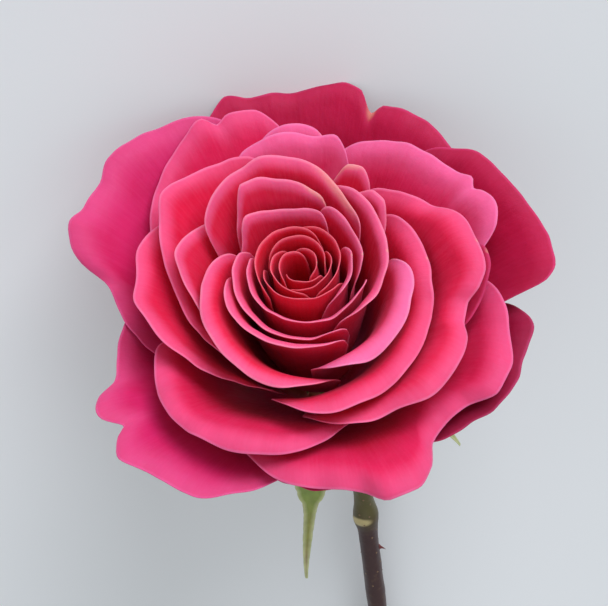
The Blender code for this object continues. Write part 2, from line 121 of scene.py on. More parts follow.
class Wiring:
    """Short forms of add_node for one tree; each gives the new node's result."""

    def __init__(self, tree: bpy.types.NodeTree) -> None:
        """Keep the tree."""
        self.tree = tree

    def value(self, name: str) -> bpy.types.NodeSocket:
        """One of the mesh's point attributes, in a shader."""
        return add_node(self.tree, "ShaderNodeAttribute", {"attribute_name": name}).outputs["Fac"]

    def math(self, operation: str, *values: Feed) -> bpy.types.NodeSocket:
        """A sum on plain values."""
        return add_node(self.tree, "ShaderNodeMath", {"operation": operation},
                        dict(enumerate(values))).outputs[0]

    def vector(self, operation: str, *values: Feed) -> bpy.types.NodeSocket:
        """A sum on vectors; the second value of SCALE is its factor."""
        places = (0, "Scale") if operation == "SCALE" else (0, 1)
        node = add_node(self.tree, "ShaderNodeVectorMath", {"operation": operation},
                        dict(zip(places, values)))
        return node.outputs["Value" if operation == "LENGTH" else "Vector"]

    def join(self, x: Feed, y: Feed, z: Feed) -> bpy.types.NodeSocket:
        """A vector from three values."""
        return add_node(self.tree, "ShaderNodeCombineXYZ", None, {0: x, 1: y, 2: z}).outputs[0]

    def mix(self, factor: Feed, first: Feed, second: Feed) -> bpy.types.NodeSocket:
        """Two colours mixed."""
        return add_node(self.tree, "ShaderNodeMix", {"data_type": "RGBA"},
                        {0: factor, 6: first, 7: second}).outputs[2]

    def remap(self, source: Feed, low: float, high: float, start: float = 0.0, end: float = 1.0,
              ease: str = "SMOOTHSTEP") -> bpy.types.NodeSocket:
        """A value carried from the range low to high to the range start to end."""
        return add_node(self.tree, "ShaderNodeMapRange", {"interpolation_type": ease},
                        {0: source, 1: low, 2: high, 3: start, 4: end}).outputs[0]

    def noise(self, place: Feed, scale: float = 1.0, detail: float = 2.0,
              roughness: float = 0.5) -> bpy.types.NodeSocket:
        """Soft random patches."""
        return add_node(self.tree, "ShaderNodeTexNoise", None,
                        {"Vector": place, "Scale": scale, "Detail": detail,
                         "Roughness": roughness}).outputs[0]

    def skin(self, colour: Feed, height: Feed, strength: float, depth: float,
             settings: dict) -> None:
        """End a material in a shader whose surface is roughened.

        Args:
            colour: the colour of the surface.
            height: the relief of the surface.
            strength: how much of the relief shows.
            depth: how deep the relief is, in metres.
            settings: the shader's other inputs.
        """
        bump = add_node(self.tree, "ShaderNodeBump", None,
                        {"Strength": strength, "Distance": depth, "Height": height})
        shader = add_node(self.tree, "ShaderNodeBsdfPrincipled", None,
                          {"Base Color": colour, "Normal": bump.outputs[0], **settings})
        add_node(self.tree, "ShaderNodeOutputMaterial", None, {0: shader.outputs[0]})


def new_material(name: str) -> tuple[bpy.types.Material, Wiring]:
    """A material with an empty tree, and the wiring that fills it."""
    material = bpy.data.materials.new(name)
    material.use_nodes = True
    material.node_tree.nodes.clear()
    return material, Wiring(material.node_tree)


def cubic_through(xs: np.ndarray, ys: np.ndarray, places: np.ndarray) -> np.ndarray:
    """Read a smooth curve that passes through points without overshooting them.

    Args:
        xs: rising positions of the points.
        ys: their values.
        places: where to read the curve.

    Returns:
        The curve's values at places.
    """
    steps = np.diff(xs)
    slopes = np.diff(ys) / steps
    tangents = np.zeros_like(ys)
    same_way = slopes[:-1] * slopes[1:] > 0
    weight_a = 2.0 * steps[1:] + steps[:-1]
    weight_b = steps[1:] + 2.0 * steps[:-1]
    safe_a = np.where(same_way, slopes[:-1], 1.0)
    safe_b = np.where(same_way, slopes[1:], 1.0)
    mean = (weight_a + weight_b) / (weight_a / safe_a + weight_b / safe_b)
    tangents[1:-1] = np.where(same_way, mean, 0.0)
    tangents[0] = slopes[0]
    tangents[-1] = slopes[-1]
    index = np.clip(np.searchsorted(xs, places, side="right") - 1, 0, len(xs) - 2)
    part = (places - xs[index]) / steps[index]
    rise = steps[index]
    square, cube = part ** 2, part ** 3
    return ((2 * cube - 3 * square + 1) * ys[index] + (cube - 2 * square + part) * rise * tangents[index]
            + (3 * square - 2 * cube) * ys[index + 1] + (cube - square) * rise * tangents[index + 1])


class Slot(Enum):
    """The record's material slots."""

    PETAL = "petal"
    GUARD = "guard_petal"
    BUD = "bud_petal"
    SEPAL = "sepal"
    STEM = "stem"


@dataclass
class Shell:
    """A mesh in the making: its vertices in the head's frame, its faces and its point attributes."""

    points: np.ndarray
    faces: list[tuple[int, ...]]
    values: dict[str, np.ndarray] = field(default_factory=dict)


def thicken(middle: np.ndarray, thickness: np.ndarray, values: dict[str, np.ndarray]) -> Shell:
    """Turn a grid of points into a closed shell with a rounded edge.

    Args:
        middle: the middle surface, as columns by rows by 3.
        thickness: the wall at each grid point, as columns by rows.
        values: point attributes of the grid, as columns by rows.

    Returns:
        The closed shell. Its attribute "side" is 1 on the inner face and 0 on the outer one.
    """
    columns, rows = middle.shape[:2]
    normal = np.cross(np.gradient(middle, axis=0), np.gradient(middle, axis=1))
    normal /= np.maximum(np.linalg.norm(normal, axis=2, keepdims=True), 1e-12)
    half = 0.5 * thickness[..., None] * normal
    grid = np.arange(columns * rows).reshape(columns, rows)
    loop = np.concatenate([grid[:-1, 0], grid[-1, :-1], grid[:0:-1, -1], grid[0, :0:-1]])
    flat = middle.reshape(-1, 3)
    inward = np.concatenate([grid[:-1, 1], grid[-2, :-1], grid[:0:-1, -2], grid[1, :0:-1]])
    outward = flat[loop] - flat[inward]
    outward /= np.maximum(np.linalg.norm(outward, axis=1, keepdims=True), 1e-12)
    edge = flat[loop] + outward * 0.5 * thickness.reshape(-1)[loop][:, None]
    count = columns * rows
    points = np.concatenate([(middle + half).reshape(-1, 3), (middle - half).reshape(-1, 3), edge])
    outer = np.stack([grid[:-1, :-1], grid[1:, :-1], grid[1:, 1:], grid[:-1, 1:]], axis=-1)
    inner = outer[..., ::-1] + count
    here = np.arange(len(loop))
    after = np.roll(here, -1)
    rim_outer = np.stack([loop[after], loop[here], 2 * count + here, 2 * count + after], axis=-1)
    rim_inner = np.stack([2 * count + after, 2 * count + here, count + loop[here],
                          count + loop[after]], axis=-1)
    faces = np.concatenate([outer.reshape(-1, 4), inner.reshape(-1, 4), rim_outer, rim_inner])
    spread = {name: np.concatenate([value.reshape(-1), value.reshape(-1), value.reshape(-1)[loop]])
              for name, value in values.items()}
    spread["side"] = np.concatenate([np.zeros(count), np.ones(count), np.full(len(loop), 0.5)])
    return Shell(points, [tuple(face) for face in faces.tolist()], spread)


def make_piece(name: str, shell: Shell, place: Matrix, material: bpy.types.Material) -> bpy.types.Object:
    """Make a finished piece from a shell and hand it to the frame.

    Args:
        name: the piece's name, after the CAD node that it stands for.
        shell: its mesh in the head's frame.
        place: from the head's frame to the row's.
        material: its finish.

    Returns:
        The new object, at the origin, with its place in its mesh.
    """
    turn = np.array(place.to_3x3())
    points = shell.points @ turn.T + np.array(place.translation)
    points[:, 2] = np.maximum(points[:, 2], REST_CLEARANCE)
    mesh = bpy.data.meshes.new(name)
    mesh.from_pydata(points.tolist(), [], shell.faces)
    mesh.shade_smooth()
    mesh.materials.append(material)
    for key, value in shell.values.items():
        layer = mesh.attributes.new(key, "FLOAT", "POINT")
        layer.data.foreach_set("value", value.astype(np.float32))
    return finish_piece(mesh, name)


def finish_piece(mesh: bpy.types.Mesh, node: str) -> bpy.types.Object:
    """Make a mesh a piece that rides on the rose's one body and stands for a CAD node."""
    piece = bpy.data.objects.new(f"{node}_look", mesh)
    bpy.context.scene.collection.objects.link(piece)
    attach(piece, "root")
    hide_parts(node)
    LOG.info("%s: %d faces", piece.name, len(piece.data.polygons))
    return piece


# ------------------------------------------------------------------ the family of bowls

REST_CLEARANCE = 0.05 * MM
RANKS = (0.0, 0.25, 0.50, 0.75, 1.0, 1.2)
STATIONS = (0.0, 0.30, 0.65, 1.0, 1.4)
WALL_ANGLES = (
    (62, 45, 30, 18, 10, 6),
    (90, 84, 72, 59, 48, 42),
    (93, 88, 76, 62, 50, 42),
    (97, 84, 62, 44, 30, 20),
    (97, 78, 45, 18, 0, -12),
)


@dataclass(frozen=True)
class Bowls:
    """The nested bowls that every petal lies on. Lengths are in metres."""

    heart_length: float = 40.0 * MM
    guard_length: float = 58.0 * MM
    foot_inner_radius: float = 1.0 * MM
    foot_outer_radius: float = 7.5 * MM
    foot_inner_height: float = 5.0 * MM
    foot_outer_height: float = 0.5 * MM
    foot_drop: float = 4.0 * MM
    steps: int = 90

    def nominal(self, rank: np.ndarray) -> np.ndarray:
        """The usual length of a petal of this rank."""
        return self.heart_length + (self.guard_length - self.heart_length) * rank

    def trace(self, rank: np.ndarray, length: np.ndarray, share: np.ndarray, roll: np.ndarray,
              roll_width: float) -> tuple[np.ndarray, np.ndarray]:
        """Walk from the foot of each petal column to a share of its length.

        Args:
            rank: the bowl's rank, one for each place.
            length: the whole length of the column.
            share: how far along the column the place is, 0 at the foot and 1 at the rim.
            roll: how far the rim curls back, in degrees.
            roll_width: the length of the curled strip.

        Returns:
            The radius and the height of each place.
        """
        foot = np.minimum(rank, 1.0)
        radius = self.foot_inner_radius + (self.foot_outer_radius - self.foot_inner_radius) * foot
        height = self.foot_inner_height + (self.foot_outer_height - self.foot_inner_height) * foot
        height = height - self.foot_drop * np.maximum(rank - 1.0, 0.0)
        walls = [np.interp(rank, RANKS, row) for row in WALL_ANGLES]
        nominal = self.nominal(rank)
        step = length * share / self.steps
        for index in range(self.steps):
            along = (index + 0.5) * step
            reach = along / nominal
            angle = walls[0].copy()
            for low, high, before, after in zip(STATIONS, STATIONS[1:], walls, walls[1:]):
                angle += (after - before) * np.clip((reach - low) / (high - low), 0.0, 1.0)
            angle -= roll * smooth_step(1.0 - (length - along) / roll_width)
            angle = np.radians(angle)
            radius = radius + step * np.cos(angle)
            height = height + step * np.sin(angle)
        return radius, height


# ------------------------------------------------------------------ petals

@dataclass(frozen=True)
class Petal:
    """One petal: where its foot is, the ranks it runs through and the outline of its rim.

    The rim is given as (azimuth, length), the length as a percentage of the bowl's usual one.
    """

    name: str
    claw: float
    ranks: Ranks
    rim: Rim
    roll: float = 0.0
    roll_width: float = 5.0


def level(rank: float) -> Ranks:
    """A rank that is the same at every azimuth."""
    return ((0.0, rank), (360.0, rank))


@dataclass(frozen=True)
class Surface:
    """How lively a petal's surface is. Lengths are in millimetres."""

    wave: float = 0.5
    waves: tuple[float, ...] = (19.0, 29.0, 43.0)
    ripple: float = 0.15
    fray: float = 0.14
    grain: float = 0.85
    rows: int = 62
    foot_wall: float = 0.50
    rim_wall: float = 0.22


class PetalMaker:
    """Builds the shell of any petal on the family of bowls."""

    claw_share = 0.24
    claw_reach = 0.55
    roll_fade = 0.3

    def __init__(self, bowls: Bowls) -> None:
        """Keep the family of bowls."""
        self.bowls = bowls

    @staticmethod
    def rank_at(petal: Petal, azimuth: np.ndarray) -> np.ndarray:
        """The petal's rank at these azimuths."""
        (azimuth_0, rank_0), (azimuth_1, rank_1) = petal.ranks
        return rank_0 + (rank_1 - rank_0) * (azimuth - azimuth_0) / (azimuth_1 - azimuth_0)

    def rim_length(self, petal: Petal, across: np.ndarray) -> np.ndarray:
        """The petal's length at these azimuths of its rim, in metres."""
        azimuths = np.array([point[0] for point in petal.rim], float)
        shares = np.array([point[1] for point in petal.rim], float)
        return cubic_through(azimuths, shares, across) * 0.01 * self.bowls.nominal(
            self.rank_at(petal, across))

    def sheet(self, petal: Petal, across: np.ndarray, share: np.ndarray, length: np.ndarray,
              liveliness: np.ndarray) -> np.ndarray:
        """Lay a petal's middle surface on its bowls.

        Args:
            petal: the petal's place and outline.
            across: the azimuth of each column at the rim, in degrees.
            share: how far along its column each row lies.
            length: the length of each column.
            liveliness: how much more or less than usual each column's rim curls.

        Returns:
            The points, as columns by rows by 3.
        """
        place = (across - across[0]) / (across[-1] - across[0])
        fade = smooth_step(np.minimum(place, 1.0 - place) / self.roll_fade)
        fan = self.claw_share + (1.0 - self.claw_share) * smooth_step(share / self.claw_reach)
        turn = petal.claw + (across[:, None] - petal.claw) * fan[None, :]
        shape = (len(across), len(share))
        radius, height = self.bowls.trace(
            self.rank_at(petal, turn), np.broadcast_to(length[:, None], shape),
            np.broadcast_to(share[None, :], shape),
            np.broadcast_to((petal.roll * fade * liveliness)[:, None], shape),
            petal.roll_width * MM)
        angle = np.radians(turn)
        return np.stack([radius * np.cos(angle), radius * np.sin(angle), height], axis=2)

    def plain(self, petal: Petal) -> np.ndarray:
        """The petal's middle surface without waves, coarse, as a list of points."""
        across = np.linspace(petal.rim[0][0], petal.rim[-1][0], 49)
        share = np.linspace(0.0, 1.0, 13)
        length = self.rim_length(petal, across)
        return self.sheet(petal, across, share, length, np.ones_like(across)).reshape(-1, 3)

    def build(self, petal: Petal, surface: Surface, seed: int) -> Shell:
        """Build a petal's shell in the head's frame.

        Args:
            petal: the petal's place and outline.
            surface: its waves, frayed rim and wall.
            seed: sets this petal's own waves.

        Returns:
            The closed shell with the point attributes that its finish reads.
        """
        dice = np.random.default_rng(seed)
        start, end = petal.rim[0][0], petal.rim[-1][0]
        rim_radius = 4.0 + 46.0 * float(np.mean(self.rank_at(petal, np.array([start, end]))))
        arc = math.radians(end - start) * rim_radius
        columns = int(np.clip(arc / surface.grain, 40, 150))
        across = np.linspace(start, end, columns)
        arc_mm = np.radians(across - start) * rim_radius
        length = self.rim_length(petal, across)
        length = length + MM * surface.fray * self.wander(dice, arc_mm, (6.1, 10.3, 17.0))
        share = np.linspace(0.0, 1.0, surface.rows) ** 0.9
        liveliness = 1.0 + 0.25 * self.wander(dice, arc_mm, (11.0, 19.0, 31.0))
        middle = self.sheet(petal, across, share, length, liveliness)
        along_mm = length[:, None] * share[None, :] / MM
        rim_mm = length[:, None] * (1.0 - share[None, :]) / MM
        normal = np.cross(np.gradient(middle, axis=0), np.gradient(middle, axis=1))
        normal /= np.maximum(np.linalg.norm(normal, axis=2, keepdims=True), 1e-12)
        wave = surface.wave * self.wander(dice, arc_mm[:, None], surface.waves, share[None, :])
        wave = wave * smooth_step((share[None, :] - 0.35) / 0.65)
        ripple = surface.ripple * self.wander(dice, arc_mm[:, None], (7.0, 11.0, 16.0),
                                              share[None, :])
        ripple = ripple * np.exp(-rim_mm / 5.0)
        middle = middle + normal * (wave + ripple)[..., None] * MM
        side_mm = np.minimum(arc_mm, arc_mm[-1] - arc_mm)[:, None] * share[None, :]
        wall = surface.foot_wall + (surface.rim_wall - surface.foot_wall) * share
        centre, half, reach = TINGES.get(petal.name, (0.0, 1.0, 1.0e-3))
        tinge = np.exp(-((across - centre) / half) ** 2)[:, None] * np.exp(-(rim_mm / reach) ** 2)
        values = {
            "along_mm": along_mm,
            "rim_mm": np.minimum(rim_mm, side_mm),
            "across_mm": np.broadcast_to(arc_mm[:, None], rim_mm.shape),
            "petal": np.full(rim_mm.shape, float(seed)),
            "tinge": tinge,
        }
        return thicken(middle, np.broadcast_to(wall * MM, rim_mm.shape), values)

    @staticmethod
    def wander(dice: np.random.Generator, arc_mm: np.ndarray, lengths: tuple[float, ...],
               share: np.ndarray | float = 0.0) -> np.ndarray:
        """Make smooth swells between about -1 and 1 that drift aside from foot to rim.

        Args:
            dice: the source of their phases.
            arc_mm: the place across the petal.
            lengths: the wavelengths, in millimetres.
            share: the place along the petal, 0 at the foot and 1 at the rim.

        Returns:
            The height of the swells at each place.
        """
        total = 0.0
        for wavelength in lengths:
            phase, drift = dice.uniform(0.0, 2.0 * math.pi), dice.uniform(-0.7, 0.7)
            stretch = dice.uniform(0.85, 1.18)
            turns = arc_mm / (wavelength * stretch) + drift * share
            total = total + np.sin(2.0 * math.pi * turns + phase)
        return total / len(lengths)


# Each ring of petals, from the outside in. A row is a petal's place in the ring, the azimuth of
# its foot, its ranks, its rim, and how far and over what length the rim rolls back.
RINGS = {
    # the flat outer ring
    "guard": (
        ("top", 72, level(1.12), ((24, 70), (34, 86), (43, 93), (54, 96), (62, 96), (65, 92),
         (69, 101), (74, 104), (86, 99), (96, 99), (102, 102), (107, 97), (113, 88), (122, 66)), 25,
         6),
        ("left", 142, level(0.99), ((100, 76), (104, 94), (110, 102), (117, 106), (127, 109),
         (136, 111), (142, 107), (150, 107), (155, 109), (160, 106), (164, 99), (167, 88),
         (175, 80), (184, 73), (194, 62)), 30, 6),
        ("lower_left", 222, level(1.07), ((168, 64), (177, 74), (189, 79), (197, 84), (203, 96),
         (208, 100), (213, 94), (216, 101), (220, 106), (228, 103), (238, 103), (246, 94),
         (254, 84), (263, 73), (270, 57)), 20, 6),
        ("bottom", 265, level(1.16), ((235, 56), (249, 69), (258, 76), (266, 79), (274, 77),
         (284, 74), (294, 61)), 15, 5),
        ("lower_right", 324, level(1.12), ((292, 63), (300, 78), (306, 83), (311, 86), (317, 92),
         (325, 94), (333, 92), (341, 93), (348, 85), (352, 76), (356, 66)), 20, 5),
        ("right", 376, level(1.03), ((345, 75), (348, 92), (351, 104), (355, 107), (362, 107),
         (371, 105), (382, 102), (392, 101), (398, 96), (405, 89), (413, 68)), 25, 6),
    ),
    # the first cupped ring, its rims turned well out
    "skirt": (
        ("bottom", 300, level(0.94), ((232, 60), (240, 76), (250, 88), (260, 98), (270, 103),
         (277, 109), (282, 118), (288, 118), (294, 111), (299, 97), (306, 91), (312, 94),
         (319, 104), (326, 103), (335, 97), (348, 90), (357, 81), (364, 63)), 55, 8),
        ("upper_left", 122, level(0.893), ((84, 78), (91, 94), (97, 102), (104, 103), (108, 101),
         (112, 106), (118, 103), (130, 96), (140, 89), (149, 82), (158, 64)), 35, 5),
        ("upper_right", 36, level(0.88), ((-4, 75), (4, 92), (9, 100), (14, 103), (20, 101),
         (23, 98), (26, 101), (32, 98), (41, 96), (50, 95), (57, 92), (64, 88), (71, 81), (78, 61)),
         40, 5),
        ("right", -10, level(0.82), ((-34, 69), (-26, 86), (-19, 91), (-12, 95), (-5, 98), (1, 97),
         (7, 89), (14, 69)), 30, 5),
        ("lower_left", 238, level(0.82), ((186, 62), (195, 80), (207, 89), (219, 99), (231, 104),
         (242, 104), (253, 101), (262, 97), (271, 88), (280, 79), (288, 62)), 60, 6),
    ),
    # the upright ring
    "cup": (
        ("left", 190, ((150, 0.735), (235, 0.66)), ((138, 71), (148, 92), (155, 96), (163, 99),
         (172, 98), (182, 101), (191, 98), (202, 95), (213, 88), (224, 83), (236, 75), (246, 66)),
         35, 4),
        ("back", 84, level(0.78), ((66, 70), (74, 91), (79, 97), (85, 99), (92, 98), (98, 93),
         (104, 70)), 30, 4),
        ("top", 92, level(0.715), ((60, 76), (66, 93), (71, 99), (78, 98), (88, 100), (98, 98),
         (105, 96), (112, 87), (118, 72)), 40, 4),
        ("right", -20, ((45, 0.64), (-80, 0.76)), ((-98, 67), (-90, 85), (-80, 96), (-67, 100),
         (-56, 109), (-45, 110), (-34, 107), (-26, 100), (-21, 100), (-16, 107), (-10, 111),
         (0, 109), (12, 106), (25, 96), (38, 90), (47, 86), (54, 78), (60, 62)), 65, 7),
        ("upper_left", 140, ((103, 0.66), (221, 0.58)), ((96, 73), (100, 92), (107, 98), (118, 101),
         (130, 105), (138, 109), (143, 110), (151, 105), (161, 100), (171, 94), (184, 87),
         (204, 83), (220, 82), (232, 68)), 35, 4),
        ("lower_right", -40, ((40, 0.515), (-95, 0.68)), ((-112, 72), (-103, 90), (-94, 100),
         (-84, 104), (-73, 104), (-58, 103), (-42, 98), (-26, 95), (-8, 93), (10, 93), (22, 93),
         (34, 85), (42, 65)), 70, 7),
    ),
    # the inner wraps
    "heart": (
        ("left", 180, ((139, 0.53), (212, 0.515)), ((128, 69), (139, 91), (150, 97), (161, 103),
         (169, 106), (177, 101), (190, 94), (203, 91), (213, 73)), 20, 4),
        ("lower_right", -50, ((0, 0.47), (-70, 0.53)), ((-92, 80), (-83, 97), (-72, 103),
         (-58, 104), (-42, 103), (-26, 100), (-12, 98), (0, 89), (8, 66)), 75, 6),
        ("lobe", 58, level(0.565), ((40, 76), (48, 95), (54, 100), (60, 99), (66, 90), (74, 68)),
         30, 3),
        ("right", 30, level(0.475), ((12, 66), (18, 84), (25, 95), (32, 102), (39, 102), (45, 98),
         (51, 91), (58, 70)), 45, 3),
        ("ribbon", -6, ((61, 0.439), (-64, 0.372)), ((-72, 69), (-62, 88), (-44, 94), (-24, 96),
         (-4, 98), (16, 98), (34, 101), (48, 102), (59, 100), (68, 75)), 55, 3),
        ("top", 96, ((148, 0.463), (20, 0.37)), ((20, 77), (30, 94), (44, 98), (58, 104), (75, 112),
         (90, 115), (102, 117), (113, 114), (124, 113), (135, 110), (144, 106), (151, 99),
         (157, 74)), 35, 4),
        ("lower_left", 214, ((163, 0.38), (260, 0.58)), ((146, 74), (158, 92), (172, 98),
         (188, 100), (204, 103), (222, 105), (240, 105), (256, 101), (268, 95), (276, 86),
         (283, 70)), 65, 5.5),
        ("front", 248, ((150, 0.343), (290, 0.466)), ((168, 72), (176, 88), (190, 96), (208, 99),
         (228, 101), (245, 101), (262, 101), (274, 100), (284, 96), (291, 88), (297, 72)), 45, 3),
        ("hood", 142, ((150, 0.388), (60, 0.350)), ((52, 72), (58, 92), (65, 101), (74, 104),
         (84, 108), (98, 111), (112, 115), (121, 115), (127, 109), (133, 100), (140, 92),
         (148, 74)), 35, 3),
        ("inner_right", 22, ((45, 0.315), (-40, 0.3)), ((-30, 79), (-16, 92), (0, 97), (12, 97),
         (26, 98), (42, 100), (54, 102), (62, 99), (68, 78)), 30, 3),
        ("inner_top", 110, ((148, 0.33), (50, 0.27)), ((44, 80), (52, 97), (62, 102), (74, 101),
         (90, 100), (108, 101), (122, 104), (132, 106), (138, 103), (145, 95), (154, 88),
         (163, 74)), 30, 3),
        ("inner_bottom", 254, ((150, 0.302), (290, 0.407)), ((142, 74), (150, 90), (162, 97),
         (180, 98), (200, 97), (218, 95), (235, 92), (255, 90), (270, 89), (281, 91), (290, 92),
         (298, 85), (304, 70)), 40, 3),
        ("core_bottom", 226, ((160, 0.25), (340, 0.352)), ((148, 74), (156, 90), (168, 98),
         (185, 99), (205, 96), (225, 93), (250, 92), (275, 92), (290, 91), (305, 94), (320, 97),
         (332, 96), (341, 90), (348, 74)), 35, 3),
        ("core_right", -16, level(0.261), ((-72, 76), (-60, 89), (-42, 96), (-22, 98), (-2, 98),
         (16, 94), (26, 85), (32, 74)), 35, 3),
    ),
}
PETALS: tuple[Petal, ...] = tuple(
    Petal(f"{ring}_petal_{place}", *rest) for ring, rows in RINGS.items() for place, *rest in rows)
# Yellowed spots at the rims of some petals: the azimuth and the half width of each in degrees,
# and how far it reaches down from the rim in millimetres.
TINGES = {
    "heart_petal_top": (55.0, 20.0, 2.0), "heart_petal_lobe": (60.0, 8.0, 1.2),
    "heart_petal_hood": (70.0, 12.0, 1.0), "guard_petal_top": (65.0, 1.6, 2.0),
    "cup_petal_back": (72.0, 5.0, 1.2)}


def bud_petals() -> tuple[Petal, ...]:
    """The nine petals of the closed bud, as three twisted whorls, tallest at the back."""
    half_spread, twist = 88.0, 0.031
    petals = []
    for whorl, (rank, first) in enumerate(((0.045, 20.0), (0.125, 75.0), (0.205, 130.0))):
        for index in range(3):
            middle = first + 120.0 * index
            start, end = middle - half_spread, middle + half_spread
            crown = 99.0 + 2.0 * math.cos(math.radians(middle - 110.0))
            rim = ((start, crown - 12), (start + 15, crown - 4), (start + 38, crown - 1),
                   (middle - 24, crown), (middle, crown + 1), (middle + 24, crown),
                   (end - 38, crown - 1), (end - 15, crown - 4), (end, crown - 12))
            name = f"bud_petal_{whorl + 1}_{index + 1}"
            petals.append(Petal(name, middle, ((start, rank - twist), (end, rank + twist)), rim,
                                20, 2))
    return tuple(petals)


# ------------------------------------------------------------------ finishes

@dataclass(frozen=True)
class PetalFinish:
    """Fresh rose petal, velvety: tiny domed cells scatter the light, so it has a soft sheen, no
    mirror gloss, and glows where light comes through."""

    name: str
    face: str
    back: str
    # rim: a paler thin edge, partly the petal's own lighter margin and partly painted glow of light
    # passing through the thin edge; it also tints the faint vein streaks
    rim: str
    # deep: a darker red, partly the petal's own redder base and partly painted shade in the hollows
    # towards the foot; also the colour of the random mottle
    deep: str
    foot: str = "C87860"
    # Pale magenta colour of a painted sheen along the rim, where rims catch the light.
    painted_sheen: str = "F07CB4"
    tinge: str = "E8C890"
    # How far from the rim, in millimetres, the painted shade towards the foot begins.
    shade_start_mm: float = 5.0
    # Width and strength of that painted sheen band.
    painted_sheen_mm: float = 6.0
    painted_sheen_share: float = 0.5

    def build(self) -> bpy.types.Material:
        """Build the material's nodes."""
        material, wiring = new_material(self.name)
        along, rim_mm = wiring.value("along_mm"), wiring.value("rim_mm")
        fibre = wiring.join(wiring.value("across_mm"), along, wiring.value("petal"))
        streak = wiring.noise(wiring.vector("MULTIPLY", fibre, (1.9, 0.07, 3.7)), 1.0, 3.0, 0.6)
        cloud = wiring.noise(wiring.vector("MULTIPLY", fibre, (0.09, 0.07, 3.3)), 1.0, 5.0, 0.66)
        crumple = wiring.noise(wiring.vector("MULTIPLY", fibre, (0.42, 0.26, 5.1)), 1.0, 3.0)
        body = wiring.mix(wiring.value("side"), linear(self.back), linear(self.face))
        for source, low, high, start, end, colour in (
                # Darker red towards the foot: partly the petal's own redder base, partly painted shade
                # in the hollows.
                (rim_mm, self.shade_start_mm, self.shade_start_mm + 16.0, 0.0, 0.95, self.deep),
                (cloud, 0.35, 0.7, 0.0, 0.30, self.deep),
                # Painted sheen: a pale magenta band along the rim.
                (rim_mm, 0.5, self.painted_sheen_mm, self.painted_sheen_share, 0.0, self.painted_sheen),
                (streak, 0.38, 0.66, 0.0, 0.035, self.rim),
                # Paler edge: partly the petal's own lighter margin, partly painted glow where light
                # passes through the thin rim.
                (rim_mm, 0.0, 0.7, 0.40, 0.0, self.rim),
                (wiring.value("tinge"), 0.1, 0.9, 0.0, 0.28, self.tinge),
                (along, 3.0, 10.0, 1.0, 0.0, self.foot)):
            body = wiring.mix(wiring.remap(source, low, high, start, end), body, linear(colour))
        height = wiring.math("MULTIPLY_ADD", wiring.noise(fibre, 3.2), 0.12, crumple)
        wiring.skin(body, height, 0.45, 0.5 * MM, {
            "Roughness": 0.50, "Sheen Weight": 0.05, "Sheen Roughness": 0.45,
            "Sheen Tint": linear("E6C8FF"), "Subsurface Weight": 0.22,
            "Subsurface Radius": (1.0, 0.10, 0.20), "Subsurface Scale": 1.0 * MM,
            "Specular IOR Level": 0.12, "Specular Tint": linear("E6D8FF")})
        return material


@dataclass(frozen=True)
class GreenFinish:
    """Living green skin, waxy: a weak broad shine over a colour that changes along its length."""

    name: str
    stops: tuple[tuple[float, str], ...]
    span: float
    edge: str
    inner: str

    def build(self) -> bpy.types.Material:
        """Build the material's nodes."""
        material, wiring = new_material(self.name)
        place = add_node(wiring.tree, "ShaderNodeTexCoord").outputs["Object"]
        fine = wiring.noise(place, 420.0, 4.0)
        shifted = wiring.math("MULTIPLY_ADD", wiring.noise(place, 90.0), 12.0,
                              wiring.value("along_mm"))
        ramp = add_node(wiring.tree, "ShaderNodeValToRGB", None,
                        {0: wiring.math("DIVIDE", shifted, self.span)})
        elements = ramp.color_ramp.elements
        while len(elements) < len(self.stops):
            elements.new(0.5)
        for element, (position, colour) in zip(elements, self.stops):
            element.position = position
            element.color = linear(colour)
        body = wiring.mix(wiring.value("side"), ramp.outputs[0], linear(self.inner))
        edge = wiring.remap(wiring.value("rim_mm"), 0.0, 0.9, 0.85, 0.0, "LINEAR")
        body = wiring.mix(edge, body, linear(self.edge))
        body = wiring.vector("SCALE", body, wiring.remap(fine, 0.3, 0.7, 0.82, 1.12, "LINEAR"))
        wiring.skin(body, fine, 0.3, 0.3 * MM, {
            "Roughness": 0.42, "Subsurface Weight": 0.12, "Subsurface Radius": (0.4, 1.0, 0.3),
            "Subsurface Scale": 0.8 * MM})
        return material


# ------------------------------------------------------------------ sepals

@dataclass(frozen=True)
class Sepal:
    """One sepal: its azimuth, how far it hangs at foot, middle and tip, its relative length, and
    how far its tail swings aside in millimetres."""

    name: str
    azimuth: float
    falls: tuple[float, float, float]
    size: float
    swing: float = 0.0


